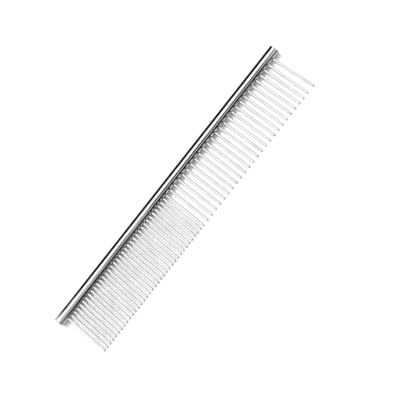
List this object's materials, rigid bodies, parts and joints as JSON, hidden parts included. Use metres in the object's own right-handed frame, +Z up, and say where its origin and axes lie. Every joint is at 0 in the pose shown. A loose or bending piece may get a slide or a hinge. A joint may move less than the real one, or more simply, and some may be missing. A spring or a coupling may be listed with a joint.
{
  "type": "steel grooming comb",
  "caption": "Straight steel pet grooming comb: a round bright-plated spine bar with a row of round-tipped wire teeth, close together in one half and wider apart in the other.",
  "frame": {"origin": "on the surface that the comb lies on, at the middle of its length and depth", "axes": "+X along the spine towards the coarse teeth, -Y the way the teeth point, +Z up from the surface that the comb lies on"},
  "size_m": [0.19, 0.034, 0.006],
  "materials": {
    "spine_plating": "mirror-bright plating over a round steel bar, with fine polishing lines along it",
    "tooth_steel": "bright polished steel wire, a little softer than the spine, with rounded tips"
  },
  "bodies": {
    "root": {"spine_bar": "spine_plating", "fine_tooth_pair_01": "tooth_steel", "fine_tooth_pair_02": "tooth_steel", "fine_tooth_pair_03": "tooth_steel", "fine_tooth_pair_04": "tooth_steel", "fine_tooth_pair_05": "tooth_steel", "fine_tooth_pair_06": "tooth_steel", "fine_tooth_pair_07": "tooth_steel", "fine_tooth_pair_08": "tooth_steel", "fine_tooth_pair_09": "tooth_steel", "fine_tooth_pair_10": "tooth_steel", "fine_tooth_pair_11": "tooth_steel", "fine_tooth_pair_12": "tooth_steel", "fine_tooth_pair_13": "tooth_steel", "fine_tooth_pair_14": "tooth_steel", "fine_tooth_pair_15": "tooth_steel", "fine_tooth_pair_16": "tooth_steel", "fine_tooth_pair_17": "tooth_steel", "fine_tooth_pair_18": "tooth_steel", "coarse_tooth_01": "tooth_steel", "coarse_tooth_02": "tooth_steel", "coarse_tooth_03": "tooth_steel", "coarse_tooth_04": "tooth_steel", "coarse_tooth_05": "tooth_steel", "coarse_tooth_06": "tooth_steel", "coarse_tooth_07": "tooth_steel", "coarse_tooth_08": "tooth_steel", "coarse_tooth_09": "tooth_steel", "coarse_tooth_10": "tooth_steel", "coarse_tooth_11": "tooth_steel", "coarse_tooth_12": "tooth_steel", "coarse_tooth_13": "tooth_steel", "coarse_tooth_14": "tooth_steel", "coarse_tooth_15": "tooth_steel", "coarse_tooth_16": "tooth_steel", "coarse_tooth_17": "tooth_steel", "coarse_tooth_18": "tooth_steel", "coarse_tooth_19": "tooth_steel", "coarse_tooth_20": "tooth_steel", "coarse_tooth_21": "tooth_steel", "coarse_tooth_22": "tooth_steel", "coarse_tooth_23": "tooth_steel", "coarse_tooth_24": "tooth_steel", "coarse_tooth_25": "tooth_steel", "coarse_tooth_26": "tooth_steel"}
  },
  "joints": []
}
